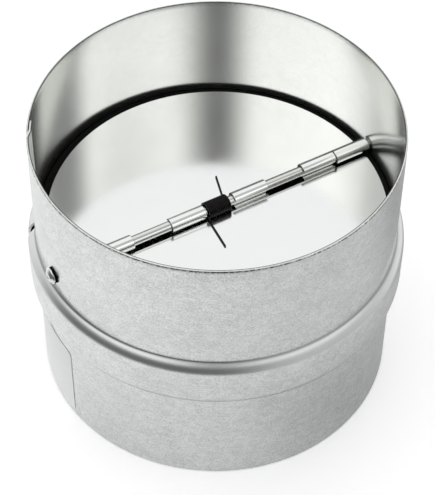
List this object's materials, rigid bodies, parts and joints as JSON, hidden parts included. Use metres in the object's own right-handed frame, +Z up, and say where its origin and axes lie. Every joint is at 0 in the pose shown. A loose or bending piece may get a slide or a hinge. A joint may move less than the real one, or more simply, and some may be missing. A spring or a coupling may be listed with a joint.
{
  "type": "backdraft damper",
  "caption": "Round in-line duct damper: a beaded sheet tube with sprung half-disc blades that swing up on a cross axle and close on a rubber seal.",
  "frame": {"origin": "centre of the foot of the lower spigot", "axes": "+Z up along the duct, the way the air leaves; X along the blades' axle; the front blade on the -Y side"},
  "size_m": [0.1034, 0.1034, 0.085],
  "materials": {
    "galvanised_sheet": "galvanised, fine spangle",
    "black_rubber": "matt",
    "bright_steel": "drawn, bright",
    "black_washer": "matt",
    "bright_aluminium": "bright rolled",
    "black_spring_wire": "black oxide",
    "label_film": "satin"
  },
  "bodies": {
    "casing": {"casing": "galvanised_sheet", "seal_ring": "black_rubber", "axle": "bright_steel", "left_washer": "black_washer", "right_washer": "black_washer", "torsion_spring": "black_spring_wire", "label": "label_film"},
    "front_blade": {"front_blade": "bright_aluminium"},
    "rear_blade": {"rear_blade": "bright_aluminium"}
  },
  "joints": [
    {"name": "front_blade_hinge", "type": "hinge", "parent": "casing", "child": "front_blade", "pos_m": [0, 0, 0.05435], "axis": [-1, 0, 0], "range_deg": [0, 85], "stiffness_Nm_per_rad": 0.002, "springref_deg": -28.65, "deforming": ["torsion_spring"]},
    {"name": "rear_blade_hinge", "type": "hinge", "parent": "casing", "child": "rear_blade", "pos_m": [0, 0, 0.05435], "axis": [1, 0, 0], "range_deg": [0, 85], "stiffness_Nm_per_rad": 0.002, "springref_deg": -28.65, "deforming": ["torsion_spring"]}
  ]
}
